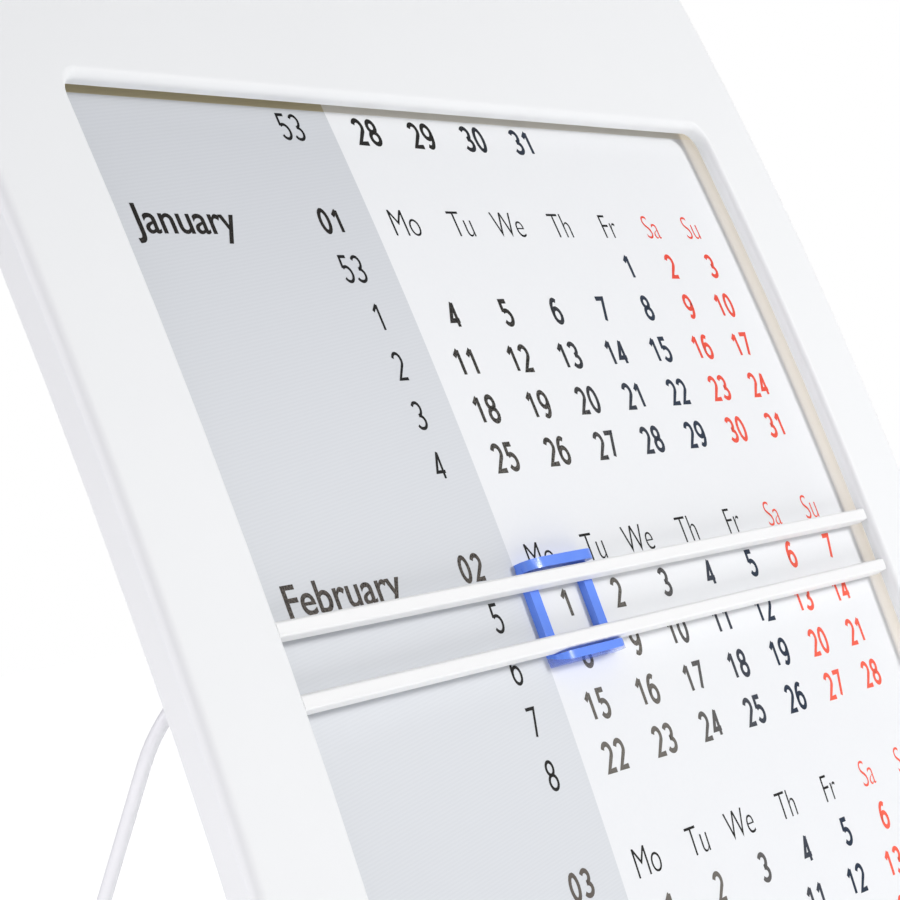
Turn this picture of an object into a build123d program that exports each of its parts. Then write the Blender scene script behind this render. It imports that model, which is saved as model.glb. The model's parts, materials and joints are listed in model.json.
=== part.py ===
from build123d import *
import os
from math import acos, atan2, cos, degrees, radians, sin, sqrt

# Desk calendar with a bowed frame, month cards, a sliding week bar with a day marker, and a wire stand.
# Millimetres, +Z up, the front faces -Y, X runs along the calendar's rows.
# "drop" is a distance down the bow from the frame's top edge, measured on the front card's face.
# "depth" is a height above the front card's face: positive towards the reader, negative towards the back.

# Frame
FRAME_WIDTH = 128.0
FRAME_LENGTH = 160.0
BOW_RADIUS = 512.0
LEAN = 25.0
FACE_DEPTH = 2.5
SKIN = 1.4
SIDE_WALL = 3.6
FOOT_WALL = 2.6
CORNER_RADIUS = 5.0
EDGE_RADIUS = 0.8
TAPER_START = 1.6
BACK_INSET = 2.5
FOOT_FLAT = 3.0
FOOT_CUT = 30.0

# Window
HEADER = 44.0
SIDE_BORDER = 12.0
FOOT_BORDER = 12.0
WINDOW_CORNER = 2.0
WINDOW_EDGE = 0.8

# Month cards and their pocket
CARD_COUNT = 4
CARD_THICK = 0.25
CARD_GAP = 0.02
CARD_OVERLAP = 5.0
CARD_LEFT_INSET = 6.9
CARD_RIGHT_INSET = 1.6
CARD_PLAY = 0.3
POCKET_RIB = 1.2
SLOT_LIP = 0.1

# Back panel and its snap catches
PANEL_THICK = 1.1
PANEL_FIT = 0.15
SEAT_GAP = 0.03
CATCH_LENGTH = 8.0
CATCH_HEIGHT = 0.5
CATCH_THICK = 0.5
CATCH_INSET = 0.3
CATCH_FIT = 0.1
CATCH_SPREAD = 80.0

# Week bar
WEEK_DOWN = 47.75
WEEK_GAP = 4.45
RAIL_WIDTH = 1.15
RAIL_FLANK = 0.2
RAIL_LOW = 0.85
RAIL_TOP = 2.0
RAIL_EDGE = 0.25
RAIL_END_PLAY = 0.2
RUNNER_LENGTH = 16.0
RUNNER_LOW = 0.2
RUNNER_THICK = 0.75
RUNNER_PLAY = 0.3
RUNNER_COVER = 2.2
TONGUE_LAP = 2.0
TONGUE_WALL = 2.4
TONGUE_FIT = 0.05

# Day marker
MARKER_X = -9.75
MARKER_STRIP_SPAN = 9.1
MARKER_STRIP_WIDTH = 1.42
MARKER_STRIP_THICK = 0.5
MARKER_LOW = 0.2
MARKER_TAB_LENGTH = 11.2
MARKER_TAB_THICK = 0.9
MARKER_TAB_RISE = 1.55
MARKER_CROWN_LENGTH = 2.2
MARKER_CROWN_RISE = 1.0
MARKER_TAB_EDGE = 0.15
MARKER_PLAY = 0.12

# Wire stand and its hinge clips
WIRE_DIAMETER = 1.1
HINGE_DROP = 89.0
HINGE_BEHIND = 1.3
LEG_LEAN = 20.4
LEG_INSET = 6.7
PIN_LENGTH = 14.0
PIN_BEND = 8.0
FOOT_BEND = 6.0
BORE_PLAY = 0.05
CLIP_WIDTH = 4.8
CLIP_LENGTH = 7.0
CLIP_WALL = 1.2
CLIP_ROUND = 1.0
CLIP_END_GAP = 0.4
PEG_DIAMETER = 1.6
PEG_FIT = 0.05
PEG_SPREAD = 4.0
STOP_GAP = 0.05
STOP_START = 0.3
STOP_LENGTH = 1.6
STOP_THICK = 0.6
STOP_MARGIN = 2.1
FOLD_GAP = 0.4

# Modelling aids
CUT_PAST = 1.0
HALF_WAY = 0.5
EDGE_SPOTS = (0.0, 0.25, 0.5, 0.75, 1.0)
DEPTH_TOLERANCE = 1e-4

# Derived depths and places
PACK_THICK = CARD_COUNT * CARD_THICK + (CARD_COUNT - 1) * CARD_GAP
PANEL_FRONT = -PACK_THICK - CARD_PLAY
BACK_DEPTH = PANEL_FRONT - PANEL_THICK
RIM_INSIDE = FACE_DEPTH - SKIN
HALF_WIDTH = FRAME_WIDTH / 2
INNER_X = HALF_WIDTH - SIDE_WALL
WINDOW_X = HALF_WIDTH - SIDE_BORDER
WINDOW_END = FRAME_LENGTH - FOOT_BORDER
WEEK_DROP = HEADER + WEEK_DOWN
CARD_TOP = HEADER - CARD_OVERLAP
CARD_END = WINDOW_END + CARD_OVERLAP
POCKET_TOP = CARD_TOP - CARD_PLAY
POCKET_END = CARD_END + CARD_PLAY
CARD_LEFT = CARD_LEFT_INSET - HALF_WIDTH
RAIL_OFFSET = (WEEK_GAP + RAIL_WIDTH) / 2
RUNNER_X = INNER_X - RUNNER_PLAY
TONGUE_X = RUNNER_X - TONGUE_WALL
WIRE_RADIUS = WIRE_DIAMETER / 2
LEG_X = HALF_WIDTH - LEG_INSET
CLIP_X = LEG_X - PIN_BEND - CLIP_END_GAP - CLIP_WIDTH / 2


def lean_at(drop):
    """Angle of the bow's outward normal above level, in degrees."""
    return LEAN - degrees((drop - FRAME_LENGTH / 2) / BOW_RADIUS)


def on_bow(drop, depth):
    """Point (y, z) on the bow, with the bow's axis at the origin."""
    angle = radians(lean_at(drop))
    radius = BOW_RADIUS + depth
    return -radius * cos(angle), radius * sin(angle)


def face_plane(drop, depth, x=0.0):
    """Plane that lies on the bow: local x along the rows, y up the face, z towards the reader."""
    y, z = on_bow(drop, depth)
    angle = radians(lean_at(drop))
    return Plane(origin=(x, y, z), x_dir=(1, 0, 0), z_dir=(0, -cos(angle), sin(angle)))


def band(left, right, top, end, low, high):
    """Slab bent along the bow, between two X planes, two drops and two depths."""
    middle = (top + end) / 2
    outer = ThreePointArc(on_bow(top, high), on_bow(middle, high), on_bow(end, high))
    inner = ThreePointArc(on_bow(end, low), on_bow(middle, low), on_bow(top, low))
    sides = Line(outer @ 1, inner @ 0) + Line(inner @ 1, outer @ 0)
    profile = make_face(outer + inner + sides)
    return Pos(left, 0, 0) * extrude(Plane.YZ * profile, amount=right - left)


def depth_of(point):
    """Depth of a point above the front card's face."""
    return sqrt(point.Y ** 2 + point.Z ** 2) - BOW_RADIUS


def radial_edges(solid):
    """Straight edges that run through the thickness of a bent slab."""
    return [edge for edge in solid.edges().filter_by(GeomType.LINE) if abs((edge % 0).X) < HALF_WAY]


def edges_at_depth(solid, depth):
    """Edges that lie wholly at one depth."""
    return [
        edge for edge in solid.edges()
        if all(abs(depth_of(edge @ spot) - depth) < DEPTH_TOLERANCE for spot in EDGE_SPOTS)
    ]


def rounded_band(left, right, top, end, low, high, corner):
    """Bent slab whose four corners, seen from the front, are rounded."""
    slab = band(left, right, top, end, low, high)
    return fillet(radial_edges(slab), corner)


def side_wedge(side):
    """Block outside one side wall, which it draws in towards the back."""
    slope = BACK_INSET / (TAPER_START - BACK_DEPTH)
    start = BOW_RADIUS + TAPER_START
    deep = BOW_RADIUS + BACK_DEPTH - CUT_PAST
    outer = HALF_WIDTH + CUT_PAST
    corners = [(HALF_WIDTH, start), (HALF_WIDTH - slope * (start - deep), deep), (outer, deep), (outer, start)]
    lean = radians(lean_at(-CUT_PAST))
    section = Plane(origin=(0, 0, 0), x_dir=(side, 0, 0), z_dir=(0, -side * sin(lean), -side * cos(lean)))
    outline = section * make_face(Polyline(*corners, close=True))
    return revolve(outline, axis=Axis.X, revolution_arc=lean_at(-CUT_PAST) - lean_at(FRAME_LENGTH + CUT_PAST))


def catches(fit):
    """Snap catches on the back panel's edges, or with a fit the pockets that take them."""
    low = BACK_DEPTH + CATCH_INSET - fit
    high = BACK_DEPTH + CATCH_INSET + CATCH_THICK + fit
    half = CATCH_LENGTH / 2 + fit
    reach = CATCH_HEIGHT + fit
    top = SIDE_WALL + PANEL_FIT
    end = FRAME_LENGTH - FOOT_WALL - PANEL_FIT
    left = -INNER_X + PANEL_FIT
    middle = FRAME_LENGTH / 2
    blocks = []
    for side in (-CATCH_SPREAD / 2, CATCH_SPREAD / 2):
        blocks.append(band(side - half, side + half, top - reach, top + reach, low, high))
        blocks.append(band(side - half, side + half, end - reach, end + reach, low, high))
        drop = middle + side
        blocks.append(band(left - reach, left + reach, drop - half, drop + half, low, high))
    return blocks


def front_bezel():
    """Bowed frame: face with window, side walls, pocket ribs, card slot and a level foot."""
    shell = rounded_band(-HALF_WIDTH, HALF_WIDTH, 0, FRAME_LENGTH, BACK_DEPTH, FACE_DEPTH, CORNER_RADIUS)
    shell = fillet(edges_at_depth(shell, FACE_DEPTH), EDGE_RADIUS)
    for side in (-1, 1):
        shell -= side_wedge(side)
    inner_corner = CORNER_RADIUS - SIDE_WALL
    inner_end = FRAME_LENGTH - FOOT_WALL
    shell -= rounded_band(
        -INNER_X, INNER_X, SIDE_WALL, inner_end, BACK_DEPTH - CUT_PAST, RIM_INSIDE, inner_corner
    )
    rib_top = POCKET_TOP - POCKET_RIB
    rib_end = POCKET_END + POCKET_RIB
    for start, stop in ((rib_top, POCKET_TOP), (POCKET_END, rib_end)):
        shell += band(-INNER_X, INNER_X, start, stop, PANEL_FRONT + SEAT_GAP, RIM_INSIDE)
    opening = rounded_band(
        -WINDOW_X, WINDOW_X, HEADER, WINDOW_END, RIM_INSIDE - CUT_PAST, FACE_DEPTH + CUT_PAST, WINDOW_CORNER
    )
    shell -= opening
    rim = [edge for edge in edges_at_depth(shell, FACE_DEPTH) if in_window(edge @ HALF_WAY)]
    shell = fillet(rim, WINDOW_EDGE)
    shell -= band(INNER_X, HALF_WIDTH + CUT_PAST, POCKET_TOP, POCKET_END, BACK_DEPTH - CUT_PAST, SLOT_LIP)
    for pocket in catches(CATCH_FIT):
        shell -= pocket
    return shell - below_foot()


def in_window(point):
    """True for a point inside the window's outline or on it, and not on the frame's outer edge."""
    angle = atan2(point.Z, -point.Y)
    drop = FRAME_LENGTH / 2 + (radians(LEAN) - angle) * BOW_RADIUS
    margin = EDGE_RADIUS
    return abs(point.X) < WINDOW_X + margin and HEADER - margin < drop < WINDOW_END + margin


def floor_height():
    """Height of the desk in the bow's frame: the frame's lowest edge is cut level to a flat foot."""
    lowest = on_bow(FRAME_LENGTH, BACK_DEPTH)[1]
    return lowest + FOOT_FLAT * sin(radians(lean_at(FRAME_LENGTH)))


def below_foot():
    """Block that cuts the frame level where it stands."""
    y = on_bow(FRAME_LENGTH, 0)[0]
    block = Box(FRAME_WIDTH + 2 * CUT_PAST, FOOT_CUT, FOOT_CUT, align=(Align.CENTER, Align.CENTER, Align.MAX))
    return Pos(0, y, floor_height()) * block


def back_panel():
    """Bowed rear plate with catches, a left card stop, a slot sill and holes for the clips' pegs."""
    top = SIDE_WALL + PANEL_FIT
    end = FRAME_LENGTH - FOOT_WALL - PANEL_FIT
    edge = INNER_X - PANEL_FIT
    corner = CORNER_RADIUS - SIDE_WALL - PANEL_FIT
    panel = rounded_band(-edge, edge, top, end, BACK_DEPTH, PANEL_FRONT, corner)
    panel += band(
        edge - SIDE_WALL, HALF_WIDTH - BACK_INSET, POCKET_TOP + PANEL_FIT, POCKET_END - PANEL_FIT,
        BACK_DEPTH, PANEL_FRONT,
    )
    stop_right = CARD_LEFT - CARD_PLAY
    panel += band(-edge, stop_right, CARD_TOP, CARD_END, BACK_DEPTH, -SEAT_GAP)
    for catch in catches(0):
        panel += catch
    for x, up in peg_places():
        hole = Cylinder(PEG_DIAMETER / 2 + PEG_FIT, 2 * (PANEL_THICK + CUT_PAST))
        panel -= face_plane(HINGE_DROP, BACK_DEPTH) * Pos(x, up, 0) * hole
    return panel


def peg_places():
    """Places of the clips' pegs on the hinge line: x, and distance up the face."""
    return [(side * CLIP_X, up) for side in (-1, 1) for up in (-PEG_SPREAD / 2, PEG_SPREAD / 2)]


def month_card(index):
    """One printed card, bent to the bow; the first lies in front."""
    high = -index * (CARD_THICK + CARD_GAP)
    return band(CARD_LEFT, HALF_WIDTH - CARD_RIGHT_INSET, CARD_TOP, CARD_END, high - CARD_THICK, high)


def rail(drop):
    """One bar of the week bar, with a thin tongue at each end that goes under the frame's border."""
    half = WINDOW_X - RAIL_END_PLAY
    side = RAIL_WIDTH / 2
    foot = side + RAIL_FLANK
    section = Polyline((-foot, RAIL_LOW), (foot, RAIL_LOW), (side, RAIL_TOP), (-side, RAIL_TOP), close=True)
    bar = extrude(Plane.YZ * make_face(section), amount=half, both=True)
    front = bar.edges().filter_by(Axis.X).group_by(Axis.Z)[-1]
    bar = fillet(front, RAIL_EDGE)
    inner = half - TONGUE_LAP
    length = TONGUE_X - inner
    for end in (-1, 1):
        tongue = Box(length, RAIL_WIDTH, RUNNER_THICK, align=(Align.CENTER, Align.CENTER, Align.MIN))
        bar += Pos(end * (inner + length / 2), 0, RUNNER_LOW) * tongue
    return face_plane(drop, 0) * bar


def runner(side):
    """Guide plate under one side border, with a slot for each bar's tongue."""
    inner = WINDOW_X + RUNNER_COVER
    left, right = sorted((side * inner, side * RUNNER_X))
    half = RUNNER_LENGTH / 2
    plate = band(left, right, WEEK_DROP - half, WEEK_DROP + half, RUNNER_LOW, RUNNER_LOW + RUNNER_THICK)
    reach = TONGUE_X + TONGUE_FIT - inner
    slot = Box(2 * reach, RAIL_WIDTH + 2 * TONGUE_FIT, 2 * (RUNNER_THICK + CUT_PAST))
    for drop in (WEEK_DROP - RAIL_OFFSET, WEEK_DROP + RAIL_OFFSET):
        plate -= face_plane(drop, RUNNER_LOW, side * inner) * slot
    return plate


def marker_tab():
    """Finger tab on edge: a plate whose crown is rounded off towards both ends."""
    half = MARKER_TAB_LENGTH / 2
    shoulder = MARKER_TAB_RISE - MARKER_CROWN_RISE
    outline = Line((-half, 0), (half, 0))
    for side, start in ((-1, 90), (1, 0)):
        centre = (side * (half - MARKER_CROWN_LENGTH), shoulder)
        outline += Line((side * half, 0), (side * half, shoulder))
        outline += EllipticalCenterArc(centre, MARKER_CROWN_LENGTH, MARKER_CROWN_RISE, start, arc_size=90)
    flat = half - MARKER_CROWN_LENGTH
    outline += Line((-flat, MARKER_TAB_RISE), (flat, MARKER_TAB_RISE))
    plate = extrude(Plane.XZ * make_face(outline), amount=MARKER_TAB_THICK / 2, both=True)
    faces = plate.faces().sort_by(Axis.Y)
    rim = [edge for edge in faces[0].edges() + faces[-1].edges() if edge.center().Z > DEPTH_TOLERANCE]
    return fillet(rim, MARKER_TAB_EDGE)


def day_marker():
    """Blue marker: two strips that pass under the bars and an upright finger tab beyond each bar."""
    inner = WEEK_GAP / 2 + RAIL_WIDTH + RAIL_FLANK + MARKER_PLAY
    outer = inner + MARKER_TAB_THICK
    tab = marker_tab()
    marker = Part()
    for side in (-1, 1):
        marker += Pos(0, side * (inner + outer) / 2, MARKER_LOW) * tab
        strip = Box(MARKER_STRIP_WIDTH, 2 * outer - MARKER_TAB_THICK, MARKER_STRIP_THICK)
        marker += Pos(side * MARKER_STRIP_SPAN / 2, 0, MARKER_LOW + MARKER_STRIP_THICK / 2) * strip
    return face_plane(WEEK_DROP, 0, MARKER_X) * marker


def hinge_point():
    """Point (y, z) of the stand's hinge axis."""
    return on_bow(HINGE_DROP, BACK_DEPTH - HINGE_BEHIND)


def leg_length():
    """Length of a leg from the hinge axis to the middle of the foot wire, set by the desk."""
    drop = hinge_point()[1] - floor_height() - WIRE_RADIUS
    return drop / cos(radians(LEG_LEAN))


def leg_plane():
    """Plane of the wire stand: local x along the rows, y down the legs, z away from the frame."""
    y, z = hinge_point()
    lean = radians(LEG_LEAN)
    return Plane(origin=(0, y, z), x_dir=(1, 0, 0), z_dir=(0, cos(lean), sin(lean)))


def stand_bail():
    """U-shaped wire: hinge pins at the top ends, two legs and a foot wire."""
    foot = leg_length()
    pin_end = LEG_X - PIN_LENGTH
    corners = [(-pin_end, 0), (-LEG_X, 0), (-LEG_X, foot), (LEG_X, foot), (LEG_X, 0), (pin_end, 0)]
    path = FilletPolyline(*corners, radius=[PIN_BEND, FOOT_BEND, FOOT_BEND, PIN_BEND])
    start = Plane(origin=(-pin_end, 0, 0), z_dir=(-1, 0, 0))
    wire = sweep(start * Circle(WIRE_RADIUS), path=path)
    return leg_plane() * wire


def hinge_clip(side):
    """Clip pegged to the back panel: bearing for one pin, and a lug that stops the leg at full opening."""
    rear = HINGE_BEHIND + WIRE_RADIUS + CLIP_WALL
    block = Box(CLIP_WIDTH, CLIP_LENGTH, rear - SEAT_GAP, align=(Align.CENTER, Align.CENTER, Align.MAX))
    block = Pos(0, 0, -SEAT_GAP) * block
    rear_edges = block.edges().filter_by(Axis.X).group_by(Axis.Z)[0]
    block = fillet(rear_edges, CLIP_ROUND)
    for up in (-PEG_SPREAD / 2, PEG_SPREAD / 2):
        peg = Cylinder(PEG_DIAMETER / 2, PANEL_THICK, align=(Align.CENTER, Align.CENTER, Align.MIN))
        block += Pos(0, up, -SEAT_GAP) * peg
    clip = face_plane(HINGE_DROP, BACK_DEPTH, side * CLIP_X) * block
    lug_low = WIRE_RADIUS + STOP_GAP
    lug_end = LEG_X - STOP_MARGIN
    lug_x = (CLIP_X + lug_end) / 2
    lug = Box(lug_end - CLIP_X, STOP_LENGTH, STOP_THICK, align=(Align.CENTER, Align.MIN, Align.MIN))
    clip += leg_plane() * Pos(side * lug_x, STOP_START, lug_low) * lug
    bore = Rot(0, 90, 0) * Cylinder(WIRE_RADIUS + BORE_PLAY, 2 * CLIP_WIDTH)
    return clip - leg_plane() * Pos(side * CLIP_X, 0, 0) * bore


def fold_angle():
    """Turn from full opening that brings the foot wire to within the fold gap of the frame's back."""
    to_axis = BOW_RADIUS + BACK_DEPTH - HINGE_BEHIND
    limit = BOW_RADIUS + BACK_DEPTH - FOLD_GAP - WIRE_RADIUS
    length = leg_length()
    folded = acos((to_axis ** 2 + length ** 2 - limit ** 2) / (2 * to_axis * length))
    opened = 90 - LEG_LEAN - lean_at(HINGE_DROP)
    return degrees(folded) - opened


pieces = {
    "front_bezel": front_bezel(),
    "back_panel": back_panel(),
    "rail_upper": rail(WEEK_DROP - RAIL_OFFSET),
    "rail_lower": rail(WEEK_DROP + RAIL_OFFSET),
    "runner_left": runner(-1),
    "runner_right": runner(1),
    "day_marker": day_marker(),
    "stand_bail": stand_bail(),
    "hinge_clip_left": hinge_clip(-1),
    "hinge_clip_right": hinge_clip(1),
}
for index in range(CARD_COUNT):
    pieces[f"card_{index + 1}"] = month_card(index)

# The finished object stands on Z = 0 with its box centred on the origin in X and Y.
boxes = [piece.bounding_box() for piece in pieces.values()]
front = min(box.min.Y for box in boxes)
rear = max(box.max.Y for box in boxes)
place = Pos(0, -(front + rear) / 2, -floor_height())

os.makedirs("parts", exist_ok=True)
for name, piece in pieces.items():
    export_step(place * piece, f"parts/{name}.step")

axis = place.position
hinge_y, hinge_z = hinge_point()
print("bow axis", axis.Y, axis.Z)
print("stand axis", axis.Y + hinge_y, axis.Z + hinge_z, "leg", leg_length(), "fold", fold_angle())
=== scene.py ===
import calendar
import json
from math import copysign, cos, radians, sin

import bpy
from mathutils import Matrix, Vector


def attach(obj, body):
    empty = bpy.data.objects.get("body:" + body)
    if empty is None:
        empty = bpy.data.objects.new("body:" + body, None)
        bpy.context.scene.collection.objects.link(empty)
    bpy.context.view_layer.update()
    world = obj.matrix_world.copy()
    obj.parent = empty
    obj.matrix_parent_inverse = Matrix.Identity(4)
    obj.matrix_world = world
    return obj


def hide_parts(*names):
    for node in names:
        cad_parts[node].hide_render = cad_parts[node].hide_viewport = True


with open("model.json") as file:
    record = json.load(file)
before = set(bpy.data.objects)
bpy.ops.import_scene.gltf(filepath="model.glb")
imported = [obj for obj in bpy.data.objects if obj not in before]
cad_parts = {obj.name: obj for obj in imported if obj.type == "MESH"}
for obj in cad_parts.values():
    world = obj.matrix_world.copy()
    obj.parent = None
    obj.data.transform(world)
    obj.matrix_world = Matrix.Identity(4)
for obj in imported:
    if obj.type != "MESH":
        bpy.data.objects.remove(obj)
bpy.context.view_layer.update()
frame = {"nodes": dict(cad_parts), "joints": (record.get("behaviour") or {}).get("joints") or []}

# The bow of the frame, in millimetres, as in the part; its axis is that of the bars' joint, in metres.
# "drop" is a distance down the bow from the frame's top edge, "depth" a height above the front card's face.
MM = 0.001
BOW_RADIUS = 512.0
FRAME_LENGTH = 160.0
LEAN = 25.0
bow_joint = next(joint for joint in frame["joints"] if joint["name"] == "week_bar_travel")
_, BOW_Y, BOW_Z = bow_joint["pos_m"]

# Front card: its edges, thickness and steps of its bend, the grey column's edge, the window's top edge,
# and how far up a flat face looks to be printed
CARD_LEFT = -57.1
CARD_RIGHT = 62.4
CARD_TOP = 39.0
CARD_END = 153.0
CARD_THICK = 0.25
CARD_STEPS = 96
GREY_EDGE = -15.0
HEADER = 44.0
FACING_UP = 0.5

# Plain white and black, then the pair of colours between which each surface varies;
# the grey column is paler low on the card
WHITE = (1.0, 1.0, 1.0, 1.0)
BLACK = (0.0, 0.0, 0.0, 1.0)
FRAME_WHITES = ((0.86, 0.868, 0.875, 1.0), (0.84, 0.848, 0.856, 1.0))
BAR_WHITES = ((0.885, 0.885, 0.885, 1.0), (0.865, 0.865, 0.865, 1.0))
WIRE_WHITES = ((0.85, 0.85, 0.87, 1.0), (0.82, 0.82, 0.845, 1.0))
CARD_WHITES = ((0.845, 0.86, 0.88, 1.0), (0.875, 0.885, 0.90, 1.0))
PRINT_WHITES = ((0.82, 0.832, 0.852, 1.0), (0.85, 0.858, 0.872, 1.0))
GREYS_LOW = ((0.675, 0.695, 0.725, 1.0), (0.695, 0.715, 0.745, 1.0))
GREYS_HIGH = ((0.60, 0.62, 0.655, 1.0), (0.62, 0.64, 0.675, 1.0))
MARKER_BLUES = ((0.13, 0.275, 0.96, 1.0), (0.165, 0.325, 0.98, 1.0))

# Line screen of the grey column, in radians for each metre up and across
SCREEN_UP = 23000.0
SCREEN_ACROSS = 2500.0

# Painted glow on the card to the right of GLOW_EDGE, in millimetres: the card emits a warm light there,
# standing in for light that comes through the white frame into the shade under its right border.
# Tones change up the card from GLOW_LOW, in metres; GLOW_RAMP and GLOW_SPREAD are shares for each metre.
GLOW_EDGE = 51.3
GLOW_RAMP = 1250.0
GLOW_LOW = 0.055
GLOW_SPREAD = 20.0
PAINTED_GLOW_WARM_LOW = (0.40, 0.35, 0.285, 1.0)
PAINTED_GLOW_WARM_HIGH = (0.31, 0.27, 0.215, 1.0)

# Painted shade on the card above the window, where the frame's upper border shadows it: a tint over the
# white paper and a warmer one over the grey column
PAINTED_SHADE_PALE = (1.0, 0.95, 0.84, 1.0)
PAINTED_SHADE_WARM = (0.98, 0.83, 0.50, 1.0)

# Printed grid: column pitch, row pitch, and the place of Monday and of the first month's heading
YEAR = 2027
DECEMBER = 12
COLUMN = 8.9
ROW = 4.541
MONDAY_RIGHT = -7.8
WEEK_RIGHT = -19.5
MONTH_LEFT = -47.5
FIRST_HEADING = 54.9
MONTH_ROWS = (0, 7, 13)
ROW_BEFORE = -2
ROW_AFTER = 20
DAY_NAMES = ("Mo", "Tu", "We", "Th", "Fr", "Sa", "Su")
SATURDAY = 5

# Numbers: height, width and stroke of a digit, and the gap between two digits
DAY_DIGITS = {"height": 2.8, "width": 1.75, "stroke": 0.46, "gap": 0.35}
WEEK_DIGITS = {"height": 2.65, "width": 1.5, "stroke": 0.29, "gap": 0.35}
MARK_DIGITS = {"height": 2.5, "width": 1.6, "stroke": 0.42, "gap": 0.35}
ARC_STEPS = 18
MITRE_LIMIT = 0.5
SECTION_CORNERS = 4

# Words: cap height, width against the plain font, stroke growth at a text size of one,
# and how far the outline of a bold letter is then pushed out
FONT_HEIGHT = 0.7
NAME_TYPE = {"height": 2.7, "narrow": 0.92, "weight": -0.014, "swell": 0.0}
MONTH_TYPE = {"height": 2.6, "narrow": 1.16, "weight": 0.0, "swell": 0.042}
LETTER_CURVE = 5

# Ink: its lower face above the card, its thickness, and the distance within which two points are one
INK_LOW = 0.004
INK_THICK = 0.016
MERGE = 1e-4

# Ink tones: the speckle, the turn to another colour to the right of INK_TURN, in millimetres,
# and the fading below INK_FADE_TOP, in metres; the spread and the fade are shares for each metre
SPECKLE_LEVEL = 0.44
SPECKLE_CONTRAST = 3.0
INK_TURN = 3.0
INK_TURN_SPREAD = 55.0
INK_FADE_TOP = 0.084
INK_FADE = 30.0

# Day marker, in the plane of the card; low on the lower tab the plastic is clearer
MARKER_X = -9.75
WEEK_DROP = 91.75
STRIP_SPAN = 9.1
STRIP_WIDTH = 1.42
STRIP_LENGTH = 8.29
STRIP_THICK = 0.66
STRIP_LOW = 0.04
TAB_LENGTH = 11.2
TAB_THICK = 0.9
TAB_RISE = 1.71
TAB_OFFSET = 4.145
TAB_SHIFT = 0.4
CROWN_LENGTH = 2.2
CROWN_RISE = 1.0
CROWN_STEPS = 10
MARKER_EDGE = 0.11
EDGE_STEPS = 3
EDGE_ANGLE = 40.0
SMOOTH_ANGLE = 35.0
CLEAR_SHARE = 0.3
CLEAR_DEPTH = 0.72

# Camera: place in metres, direction of view, lens and sensor width in millimetres, nearest distance
CAMERA_PLACE = (-0.20643, -0.12496, 0.09434)
CAMERA_LOOK = (0.83968, 0.53818, -0.07276)
CAMERA_LENS = 106.95
SENSOR = 36.0
NEAREST = 0.01

# Studio: light all round, then each lamp's place, power, size and colour; the lamps face the calendar
WORLD_LIGHT = 0.27
WORLD_COLOUR = (0.97, 0.975, 1.0, 1.0)
LAMPS = {
    "left_key": ((-0.74, -0.46, 0.36), 1.1, 0.5, (1.0, 1.0, 1.0)),
    "right_key": ((0.42, -0.50, 0.42), 3.3, 0.16, (1.0, 1.0, 1.0)),
    "side_light": ((-0.80, 0.20, 0.58), 3.4, 0.5, (1.0, 0.97, 1.03)),
}
LAMP_AIM = (0.0, -0.02, 0.07)
FLOOR_SIZE = 0.56
FLOOR_GLOW = 0.55
FLOOR_WHITE = (0.97, 0.97, 0.97, 1.0)


def on_bow(x, drop, depth):
    """Point in the shared frame, in metres, of a place on the calendar given in millimetres."""
    angle = radians(LEAN) - (drop - FRAME_LENGTH / 2) / BOW_RADIUS
    radius = (BOW_RADIUS + depth) * MM
    return Vector((x * MM, BOW_Y - radius * cos(angle), BOW_Z + radius * sin(angle)))


def lay_on_bow(piece):
    """Bends a piece modelled flat: x along the rows, y up the card (minus the drop), z the depth."""
    for vertex in piece.data.vertices:
        vertex.co = on_bow(vertex.co.x, -vertex.co.y, vertex.co.z)
    piece.data.update()


def select_only(*pieces):
    """Makes these the only selected objects, the first of them active."""
    bpy.ops.object.select_all(action="DESELECT")
    for piece in pieces:
        piece.select_set(True)
    bpy.context.view_layer.objects.active = pieces[0]


def apply_place(piece):
    """Puts an object's place, turn and scale into its mesh."""
    select_only(piece)
    bpy.ops.object.transform_apply(location=True, rotation=True, scale=True)


def apply_modifier(piece, kind, **settings):
    """Adds a modifier with these settings and applies it."""
    modifier = piece.modifiers.new(kind.lower(), kind)
    for name, value in settings.items():
        setattr(modifier, name, value)
    select_only(piece)
    bpy.ops.object.modifier_apply(modifier=modifier.name)


def finish_piece(piece, name, body, slot, *finishes):
    """Names a piece, gives it its materials, and lets it ride on a body."""
    piece.name = name
    piece.data.name = name
    piece.data.materials.clear()
    for finish in finishes:
        piece.data.materials.append(finish)
    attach(piece, body)


class Value:
    """A socket of a material's nodes; arithmetic on it adds Math nodes."""

    def __init__(self, finish, socket):
        self.finish = finish
        self.socket = socket

    def math(self, operation, *others):
        """Math node on this value and the others."""
        inputs = dict(enumerate((self, *others)))
        return self.finish.node("ShaderNodeMath", {"operation": operation}, inputs)

    def __add__(self, other):
        return self.math("ADD", other)

    __radd__ = __add__

    def __sub__(self, other):
        return self.math("SUBTRACT", other)

    def __rsub__(self, other):
        return self.finish.node("ShaderNodeMath", {"operation": "SUBTRACT"}, {0: other, 1: self})

    def __mul__(self, other):
        return self.math("MULTIPLY", other)

    __rmul__ = __mul__

    def __lt__(self, other):
        return self.math("LESS_THAN", other)

    def __gt__(self, other):
        return self.math("GREATER_THAN", other)

    def around(self, middle, spread):
        """Value that strays from a middle as this noise strays from one half."""
        return middle + spread * (self - 0.5)


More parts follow.
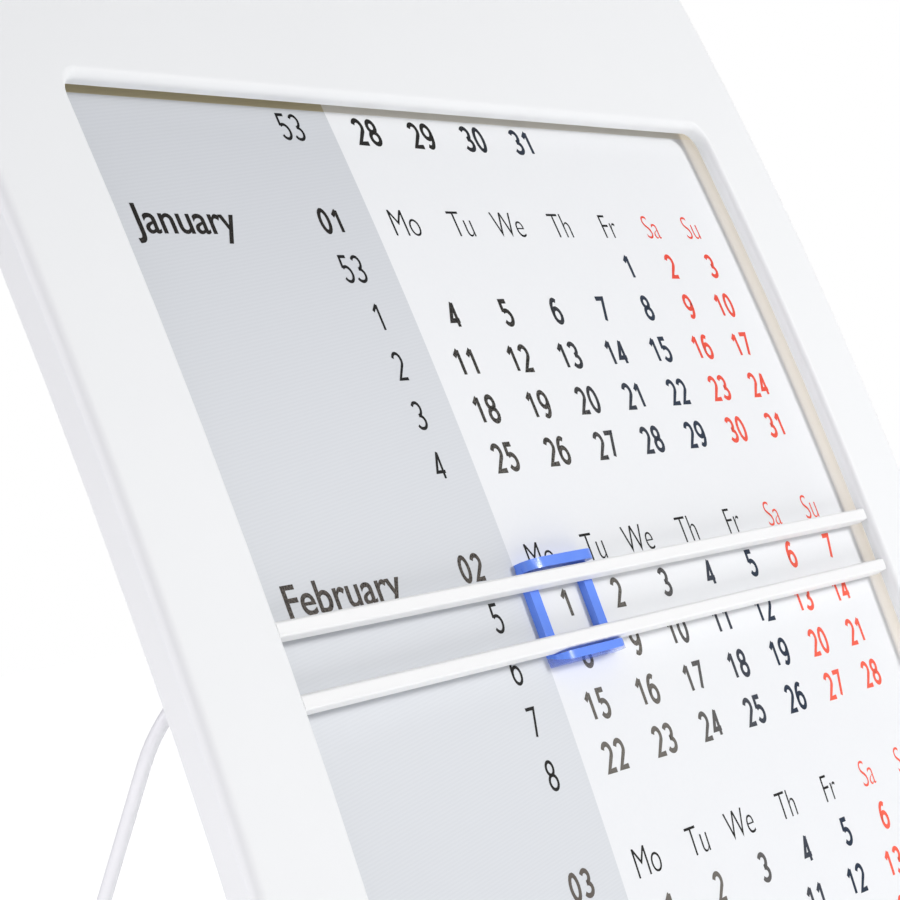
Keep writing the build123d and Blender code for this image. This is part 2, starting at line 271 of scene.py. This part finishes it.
class Finish:
    """A procedural material: one Principled shader, its constants, and the nodes that feed it."""

    def __init__(self, name, **constants):
        self.material = bpy.data.materials.new(name)
        self.material.use_nodes = True
        self.tree = self.material.node_tree
        self.shader = self.tree.nodes["Principled BSDF"]
        self.place = self.node("ShaderNodeTexCoord", {}, {}, "Object")
        self.drive(**constants)

    def node(self, kind, settings, inputs, output=0):
        """Adds a node: its settings first, then the values or links of its sockets."""
        made = self.tree.nodes.new(kind)
        for name, value in settings.items():
            setattr(made, name, value)
        for socket, value in inputs.items():
            self.feed(made.inputs[socket], value)
        return Value(self, made.outputs[output])

    def feed(self, socket, value):
        """Links a value to a socket, or sets the socket to a constant."""
        if isinstance(value, Value):
            self.tree.links.new(value.socket, socket)
        else:
            socket.default_value = value

    def drive(self, **inputs):
        """Feeds the shader's own sockets."""
        for socket, value in inputs.items():
            self.feed(self.shader.inputs[socket.replace("_", " ")], value)

    def noise(self, size, detail=2.0):
        """Noise whose grains are about this many millimetres across."""
        inputs = {"Vector": self.place, "Scale": 1 / (size * MM), "Detail": detail}
        return self.node("ShaderNodeTexNoise", {}, inputs)

    def blend(self, factor, first, second):
        """Mix of two colours."""
        return self.node("ShaderNodeMix", {"data_type": "RGBA"}, {0: factor, 6: first, 7: second}, 2)

    def tint(self, factor, colour, shade):
        """Colour multiplied by a shade, as far as the factor says."""
        settings = {"data_type": "RGBA", "blend_type": "MULTIPLY"}
        return self.node("ShaderNodeMix", settings, {0: factor, 6: colour, 7: shade}, 2)

    def axis(self, name):
        """One coordinate of the place on the piece, in metres."""
        return self.node("ShaderNodeSeparateXYZ", {}, {"Vector": self.place}, name)

    def bump(self, height, size, strength):
        """Surface relief of this many millimetres."""
        inputs = {"Height": height, "Distance": size * MM, "Strength": strength}
        return self.node("ShaderNodeBump", {}, inputs)


def moulded_plastic(name, whites, roughness):
    """White moulded plastic: a fine spark-eroded grain and a faint unevenness in gloss and tone."""
    finish = Finish(name, IOR=1.5, Specular_IOR_Level=0.4)
    cloud = finish.noise(size=22.0)
    grain = finish.noise(size=0.22, detail=3.0)
    finish.drive(
        Base_Color=finish.blend(cloud, *whites),
        Roughness=cloud.around(grain.around(roughness, spread=0.12), spread=0.06),
        Normal=finish.bump(grain, size=0.006, strength=0.35),
    )
    return finish.material


def painted_wire():
    """White powder-coated wire with a slight orange peel."""
    finish = Finish("wire_white_coat", Coat_Weight=0.15, Coat_Roughness=0.25)
    peel = finish.noise(size=0.5, detail=1.0)
    finish.drive(
        Base_Color=finish.blend(finish.noise(size=6.0), *WIRE_WHITES),
        Roughness=peel.around(0.4, spread=0.1),
        Normal=finish.bump(peel, size=0.02, strength=0.4),
    )
    return finish.material


def coated_paper(name):
    """Coated card without its colour: the finish, and the noise of its fibres."""
    finish = Finish(name, Specular_IOR_Level=0.3)
    fibre = finish.noise(size=0.35, detail=4.0)
    finish.drive(
        Roughness=fibre.around(0.45, spread=0.15),
        Normal=finish.bump(fibre, size=0.004, strength=0.3),
    )
    return finish, fibre


def card_stock():
    """White coated card."""
    finish, fibre = coated_paper("card_white")
    finish.drive(Base_Color=finish.blend(fibre, *CARD_WHITES))
    return finish.material


def printed_stock():
    """Printed side of a card: a grey column under a fine line screen, with a painted glow beside the window
    and a painted shade above it.
    """
    finish, fibre = coated_paper("card_print")
    across = finish.axis("X")
    up = finish.axis("Z")
    height = (up - GLOW_LOW) * GLOW_SPREAD
    screen = ((up * SCREEN_UP - across * SCREEN_ACROSS).math("SINE") + 1.0) * 0.5
    grey = finish.blend(height, finish.blend(screen, *GREYS_LOW), finish.blend(screen, *GREYS_HIGH))
    column = across < GREY_EDGE * MM
    paper = finish.blend(column, finish.blend(fibre, *PRINT_WHITES), grey)
    # Painted shade: the card above the window's top edge is tinted darker and warm, as the border over it
    # shades it.
    above = up > on_bow(0.0, HEADER, 0.0).z
    # Painted glow: the card beside the window emits a warm light of its own, standing in for light through
    # the white frame into the shade under the border.
    painted_glow_share = (across - GLOW_EDGE * MM) * GLOW_RAMP
    painted_glow = finish.tint(1.0, paper, finish.blend(height, PAINTED_GLOW_WARM_LOW, PAINTED_GLOW_WARM_HIGH))
    finish.drive(
        Base_Color=finish.tint(above, paper, finish.blend(column, PAINTED_SHADE_PALE, PAINTED_SHADE_WARM)),
        Emission_Color=finish.blend(painted_glow_share, BLACK, painted_glow),
        Emission_Strength=1.0,
    )
    return finish.material


def ink(name, colour, worn, right_colour=None):
    """Printing ink with a screened print's faint speckle; it may turn to another colour at the right."""
    finish = Finish(name, Specular_IOR_Level=0.08)
    speckle = finish.noise(size=0.16, detail=3.0)
    fade = (INK_FADE_TOP - finish.axis("Z")) * INK_FADE
    shown = finish.blend((speckle - SPECKLE_LEVEL) * SPECKLE_CONTRAST + fade, colour, worn)
    if right_colour:
        turn = (finish.axis("X") - INK_TURN * MM) * INK_TURN_SPREAD
        shown = finish.blend(turn, shown, right_colour)
    finish.drive(Base_Color=shown, Roughness=speckle.around(0.55, spread=0.2))
    return finish.material


def clear_blue():
    """Blue plastic that lets some light through, most of it low on the lower tab."""
    finish = Finish("marker_blue_plastic", IOR=1.49, Specular_IOR_Level=0.35)
    flow = finish.noise(size=2.5)
    clear_drop = WEEK_DROP + TAB_OFFSET + TAB_THICK * CLEAR_SHARE
    lower = finish.axis("Z") < on_bow(0.0, clear_drop, TAB_RISE).z
    finish.drive(
        Base_Color=finish.blend(flow, *MARKER_BLUES),
        Roughness=flow.around(0.2, spread=0.1),
        Alpha=1.0 - CLEAR_DEPTH * lower,
    )
    return finish.material


def front_card():
    """The month card that shows: a bent sheet with a printed face."""
    bpy.ops.object.select_all(action="DESELECT")
    bpy.ops.mesh.primitive_grid_add(x_subdivisions=1, y_subdivisions=CARD_STEPS, size=1.0)
    card = bpy.context.object
    card.scale = (CARD_RIGHT - CARD_LEFT, CARD_END - CARD_TOP, 1.0)
    card.location = ((CARD_LEFT + CARD_RIGHT) / 2, -(CARD_TOP + CARD_END) / 2, 0.0)
    apply_place(card)
    apply_modifier(card, "SOLIDIFY", thickness=CARD_THICK, offset=-1.0)
    for face in card.data.polygons:
        face.material_index = 0 if face.normal.z > FACING_UP else 1
    lay_on_bow(card)
    finish_piece(card, "printed_card", "card_pack", "card_stock", printed_stock(), CARD_WHITE)
    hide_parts("card_1")


def arc(x, y, wide, tall, start, stop):
    """Points of an elliptical arc between two angles in degrees."""
    turns = [radians(start + (stop - start) * step / ARC_STEPS) for step in range(ARC_STEPS + 1)]
    return [(x + wide * cos(turn), y + tall * sin(turn)) for turn in turns]


def digit_strokes():
    """Strokes of the ten digits, as lines of points in a unit box."""
    six = [arc(0.62, 0.4, 0.62, 0.6, 62, 180) + [(0.0, 0.31)], arc(0.5, 0.31, 0.5, 0.31, 0, 360)]
    return {
        "0": [arc(0.5, 0.5, 0.5, 0.5, 0, 360)],
        "1": [[(0.1, 0.74), (0.64, 1.0)], [(0.64, 1.0), (0.64, 0.0)]],
        "2": [arc(0.5, 0.72, 0.48, 0.28, 160, -38) + [(0.03, 0.0), (1.0, 0.0)]],
        "3": [arc(0.45, 0.75, 0.47, 0.25, 152, -90), arc(0.45, 0.25, 0.55, 0.25, 90, -152)],
        "4": [[(0.74, 1.0), (0.0, 0.26), (1.0, 0.26)], [(0.74, 1.0), (0.74, 0.0)]],
        "5": [[(0.92, 1.0), (0.16, 1.0), (0.12, 0.54)], arc(0.46, 0.3, 0.54, 0.3, 128, -150)],
        "6": six,
        "7": [[(0.0, 1.0), (1.0, 1.0), (0.34, 0.0)]],
        "8": [arc(0.5, 0.76, 0.43, 0.24, 0, 360), arc(0.5, 0.26, 0.5, 0.26, 0, 360)],
        "9": [[(1 - x, 1 - y) for x, y in stroke] for stroke in six],
    }


def ribbon(points, half):
    """Left and right edge points of a stroke of this half width along a line of points."""
    closed = (points[0] - points[-1]).length < MERGE
    last = len(points) - 1
    edges = []
    for index, here in enumerate(points):
        before = points[index - 1] if index else points[last - 1]
        after = points[index + 1] if index < last else points[1]
        come = (here - before).normalized() if index or closed else (after - here).normalized()
        leave = (after - here).normalized() if index < last or closed else come
        along = (come + leave).normalized()
        reach = half / max(along.dot(leave), MITRE_LIMIT)
        side = Vector((-along.y, along.x)) * reach
        edges.append((here + side, here - side))
    return edges


def number_ribbons(number, right, drop, style):
    """Ribbons of one number that ends at a right edge, in millimetres on the flat card."""
    stroke = style["stroke"]
    scale = Vector((style["width"] - stroke, style["height"] - stroke))
    low = -drop - style["height"] / 2 + stroke / 2
    for place, digit in enumerate(reversed(number)):
        left = right - style["width"] + stroke / 2 - place * (style["width"] + style["gap"])
        for line in DIGIT_STROKES[digit]:
            yield ribbon([Vector((left + x * scale.x, low + y * scale.y)) for x, y in line], stroke / 2)


def settle_print(printed, name, finish):
    """Welds a flat print, turns its faces outward, bends it onto the card and names it."""
    select_only(printed)
    bpy.ops.object.mode_set(mode="EDIT")
    bpy.ops.mesh.select_all(action="SELECT")
    bpy.ops.mesh.remove_doubles(threshold=MERGE)
    bpy.ops.mesh.normals_make_consistent(inside=False)
    bpy.ops.object.mode_set(mode="OBJECT")
    lay_on_bow(printed)
    finish_piece(printed, name, "card_pack", "card_stock", finish)


def print_numbers(name, numbers, style, finish):
    """Numbers of one style and ink as one thin printed piece."""
    vertices = []
    faces = []
    top = INK_LOW + INK_THICK
    for number, right, drop in numbers:
        for edges in number_ribbons(number, right, drop, style):
            first = len(vertices)
            for left_spot, right_spot in edges:
                corners = ((left_spot, top), (right_spot, top), (right_spot, INK_LOW), (left_spot, INK_LOW))
                vertices.extend((spot.x, spot.y, level) for spot, level in corners)
            starts = range(first, len(vertices), SECTION_CORNERS)
            rings = [tuple(range(start, start + SECTION_CORNERS)) for start in starts]
            for ring, after in zip(rings, rings[1:]):
                for corner in range(SECTION_CORNERS):
                    following = (corner + 1) % SECTION_CORNERS
                    faces.append((ring[corner], ring[following], after[following], after[corner]))
            if (edges[0][0] - edges[-1][0]).length > MERGE:
                faces.extend((rings[0], rings[-1]))
    mesh = bpy.data.meshes.new(name)
    mesh.from_pydata(vertices, [], faces)
    printed = bpy.data.objects.new(name, mesh)
    bpy.context.collection.objects.link(printed)
    settle_print(printed, name, finish)


def swell_letters(piece, amount):
    """Makes flat letters bolder: pushes their outline out, then levels their two faces again."""
    select_only(piece)
    bpy.ops.object.mode_set(mode="EDIT")
    bpy.ops.mesh.select_all(action="SELECT")
    bpy.ops.mesh.remove_doubles(threshold=MERGE)
    bpy.ops.transform.shrink_fatten(value=amount, use_even_offset=True)
    bpy.ops.object.mode_set(mode="OBJECT")
    for vertex in piece.data.vertices:
        vertex.co.z = copysign(INK_THICK / 2, vertex.co.z)


def letters(words, x, drop, side, style):
    """One word as a thin flat mesh in millimetres; x is its right or left end."""
    bpy.ops.object.select_all(action="DESELECT")
    bpy.ops.object.text_add()
    text = bpy.context.object
    text.data.body = words
    text.data.size = style["height"] / FONT_HEIGHT
    text.data.offset = style["weight"] * text.data.size
    text.data.align_x = side
    text.data.extrude = INK_THICK / 2
    text.data.resolution_u = LETTER_CURVE
    bpy.ops.object.convert(target="MESH")
    piece = bpy.context.object
    swell_letters(piece, style["swell"])
    piece.scale.x = style["narrow"]
    piece.location = (x, -drop - style["height"] / 2, INK_LOW + INK_THICK / 2)
    apply_place(piece)
    return piece


def print_words(name, words, style, finish):
    """Words of one style and ink as one thin printed piece."""
    pieces = [letters(text, x, drop, side, style) for text, x, drop, side in words]
    select_only(*pieces)
    bpy.ops.object.join()
    settle_print(bpy.context.object, name, finish)


def print_month_grid():
    """Lays out the card: weekday names, days and week numbers of the months, row by row."""
    days, rests, weeks, month_marks, names, rest_names, months = [], [], [], [], [], [], []
    plan = calendar.Calendar()
    next_month = len(MONTH_ROWS) + 1

    def row_drop(row):
        return FIRST_HEADING + ROW * row

    def week_line(row, dates, month):
        weeks.append((str(dates[0].isocalendar().week), WEEK_RIGHT, row_drop(row)))
        for column, date in enumerate(dates):
            if date.month == month:
                group = rests if column >= SATURDAY else days
                group.append((str(date.day), MONDAY_RIGHT + COLUMN * column, row_drop(row)))

    for month, heading in enumerate(MONTH_ROWS, start=1):
        months.append((calendar.month_name[month], MONTH_LEFT, row_drop(heading), "LEFT"))
        month_marks.append((f"{month:02}", WEEK_RIGHT, row_drop(heading)))
        for column, name in enumerate(DAY_NAMES):
            group = rest_names if column >= SATURDAY else names
            group.append((name, MONDAY_RIGHT + COLUMN * column, row_drop(heading), "RIGHT"))
        for line, dates in enumerate(plan.monthdatescalendar(YEAR, month), start=1):
            week_line(heading + line, dates, month)
    week_line(ROW_BEFORE, plan.monthdatescalendar(YEAR - 1, DECEMBER)[-1], DECEMBER)
    week_line(ROW_AFTER, plan.monthdatescalendar(YEAR, next_month)[0], next_month)

    print_numbers("print_days", days, DAY_DIGITS, DAY_INK)
    print_numbers("print_rest_days", rests, DAY_DIGITS, RED_INK)
    print_numbers("print_week_numbers", weeks, WEEK_DIGITS, BLACK_INK)
    print_numbers("print_month_numbers", month_marks, MARK_DIGITS, MONTH_INK)
    print_words("print_day_names", names, NAME_TYPE, BLACK_INK)
    print_words("print_rest_day_names", rest_names, NAME_TYPE, RED_INK)
    print_words("print_months", months, MONTH_TYPE, MONTH_INK)


def block(place, size):
    """Box of this size, with its middle at this place."""
    bpy.ops.object.select_all(action="DESELECT")
    bpy.ops.mesh.primitive_cube_add(size=1.0, location=place)
    made = bpy.context.object
    made.scale = size
    apply_place(made)
    return made


def finger_tab(side):
    """Upright tab beyond one bar; its crown is rounded off towards both ends."""
    stretch = CROWN_LENGTH / CROWN_RISE
    tab = block((0.0, 0.0, 0.0), (TAB_LENGTH / stretch, TAB_THICK, TAB_RISE))
    bpy.ops.object.mode_set(mode="EDIT")
    bpy.ops.mesh.select_mode(type="EDGE")
    bpy.ops.mesh.select_all(action="DESELECT")
    bpy.ops.object.mode_set(mode="OBJECT")
    for edge in tab.data.edges:
        ends = [tab.data.vertices[index].co for index in edge.vertices]
        edge.select = min(end.z for end in ends) > 0 and abs(ends[0].x - ends[1].x) < MERGE
    bpy.ops.object.mode_set(mode="EDIT")
    bpy.ops.mesh.bevel(offset=CROWN_RISE, segments=CROWN_STEPS, affect="EDGES")
    bpy.ops.object.mode_set(mode="OBJECT")
    tab.scale.x = stretch
    tab.location = (MARKER_X + TAB_SHIFT, -WEEK_DROP + side * TAB_OFFSET, STRIP_LOW + TAB_RISE / 2)
    apply_place(tab)
    return tab


def marker_strip(side):
    """Strip that passes under both bars and joins the tabs."""
    place = (MARKER_X + side * STRIP_SPAN / 2, -WEEK_DROP, STRIP_LOW + STRIP_THICK / 2)
    return block(place, (STRIP_WIDTH, STRIP_LENGTH, STRIP_THICK))


def blue_marker():
    """The day marker in one piece, with softened edges."""
    marker = finger_tab(1)
    for other in (finger_tab(-1), marker_strip(1), marker_strip(-1)):
        apply_modifier(marker, "BOOLEAN", operation="UNION", solver="EXACT", object=other)
        bpy.data.objects.remove(other)
    apply_modifier(
        marker, "BEVEL", width=MARKER_EDGE, segments=EDGE_STEPS,
        limit_method="ANGLE", angle_limit=radians(EDGE_ANGLE),
    )
    lay_on_bow(marker)
    select_only(marker)
    bpy.ops.object.shade_smooth_by_angle(angle=radians(SMOOTH_ANGLE))
    finish_piece(marker, "blue_marker", "marker", "blue_plastic", clear_blue())
    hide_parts("day_marker")


def dress_nodes():
    """Gives the carried-over pieces their finishes."""
    shell = moulded_plastic("frame_white_plastic", FRAME_WHITES, roughness=0.58)
    bars = moulded_plastic("bar_white_plastic", BAR_WHITES, roughness=0.5)
    finishes = {
        "front_bezel": shell,
        "back_panel": shell,
        "hinge_clip_left": shell,
        "hinge_clip_right": shell,
        "rail_upper": bars,
        "rail_lower": bars,
        "runner_left": bars,
        "runner_right": bars,
        "stand_bail": painted_wire(),
        "card_2": CARD_WHITE,
        "card_3": CARD_WHITE,
        "card_4": CARD_WHITE,
    }
    for name, finish in finishes.items():
        frame["nodes"][name].material_slots[0].material = finish


def white_floor():
    """White floor that glows a little, as a lit table does."""
    bpy.ops.object.select_all(action="DESELECT")
    bpy.ops.mesh.primitive_plane_add(size=FLOOR_SIZE)
    floor = bpy.context.object
    floor.name = "floor"
    pale = Finish(
        "floor_white", Base_Color=FLOOR_WHITE, Roughness=0.7,
        Emission_Color=WHITE, Emission_Strength=FLOOR_GLOW,
    )
    floor.data.materials.append(pale.material)


def soft_world():
    """Soft light all round, in front of a white backdrop."""
    world = bpy.data.worlds.new("studio")
    world.use_nodes = True
    nodes = world.node_tree.nodes
    links = world.node_tree.links
    light = nodes["Background"]
    light.inputs["Color"].default_value = WORLD_COLOUR
    light.inputs["Strength"].default_value = WORLD_LIGHT
    backdrop = nodes.new("ShaderNodeBackground")
    backdrop.inputs["Color"].default_value = WHITE
    chosen = nodes.new("ShaderNodeMixShader")
    links.new(nodes.new("ShaderNodeLightPath").outputs["Is Camera Ray"], chosen.inputs[0])
    links.new(light.outputs[0], chosen.inputs[1])
    links.new(backdrop.outputs[0], chosen.inputs[2])
    links.new(chosen.outputs[0], nodes["World Output"].inputs["Surface"])
    bpy.context.scene.world = world


def lamp(name, place, power, size, colour):
    """Square soft light that faces the calendar."""
    bpy.ops.object.light_add(type="AREA", location=place)
    made = bpy.context.object
    made.name = name
    made.data.energy = power
    made.data.size = size
    made.data.color = colour
    made.rotation_euler = (Vector(LAMP_AIM) - made.location).to_track_quat("-Z", "Y").to_euler()


def studio():
    """Floor, backdrop, lamps, and plain colours in the picture."""
    white_floor()
    soft_world()
    for name, settings in LAMPS.items():
        lamp(name, *settings)
    bpy.context.scene.view_settings.view_transform = "Standard"


def photo_camera():
    """Camera at the photograph's place."""
    bpy.ops.object.camera_add(location=CAMERA_PLACE)
    camera = bpy.context.object
    camera.rotation_euler = Vector(CAMERA_LOOK).to_track_quat("-Z", "Y").to_euler()
    camera.data.lens = CAMERA_LENS
    camera.data.sensor_width = SENSOR
    camera.data.clip_start = NEAREST
    bpy.context.scene.camera = camera


DIGIT_STROKES = digit_strokes()

# Card stock and inks: each ink's colour, its worn colour, and its colour at the right where that differs
CARD_WHITE = card_stock()
BLACK_INK = ink("ink_black", (0.004, 0.004, 0.005, 1.0), worn=(0.02, 0.019, 0.018, 1.0))
DAY_INK = ink(
    "ink_soft_black", (0.012, 0.011, 0.010, 1.0), worn=(0.16, 0.147, 0.13, 1.0),
    right_colour=(0.024, 0.036, 0.062, 1.0),
)
MONTH_INK = ink("ink_brown_black", (0.009, 0.007, 0.006, 1.0), worn=(0.13, 0.112, 0.098, 1.0))
RED_INK = ink("ink_red", (0.80, 0.075, 0.045, 1.0), worn=(0.90, 0.13, 0.08, 1.0))

photo_camera()
dress_nodes()
front_card()
print_month_grid()
blue_marker()
studio()
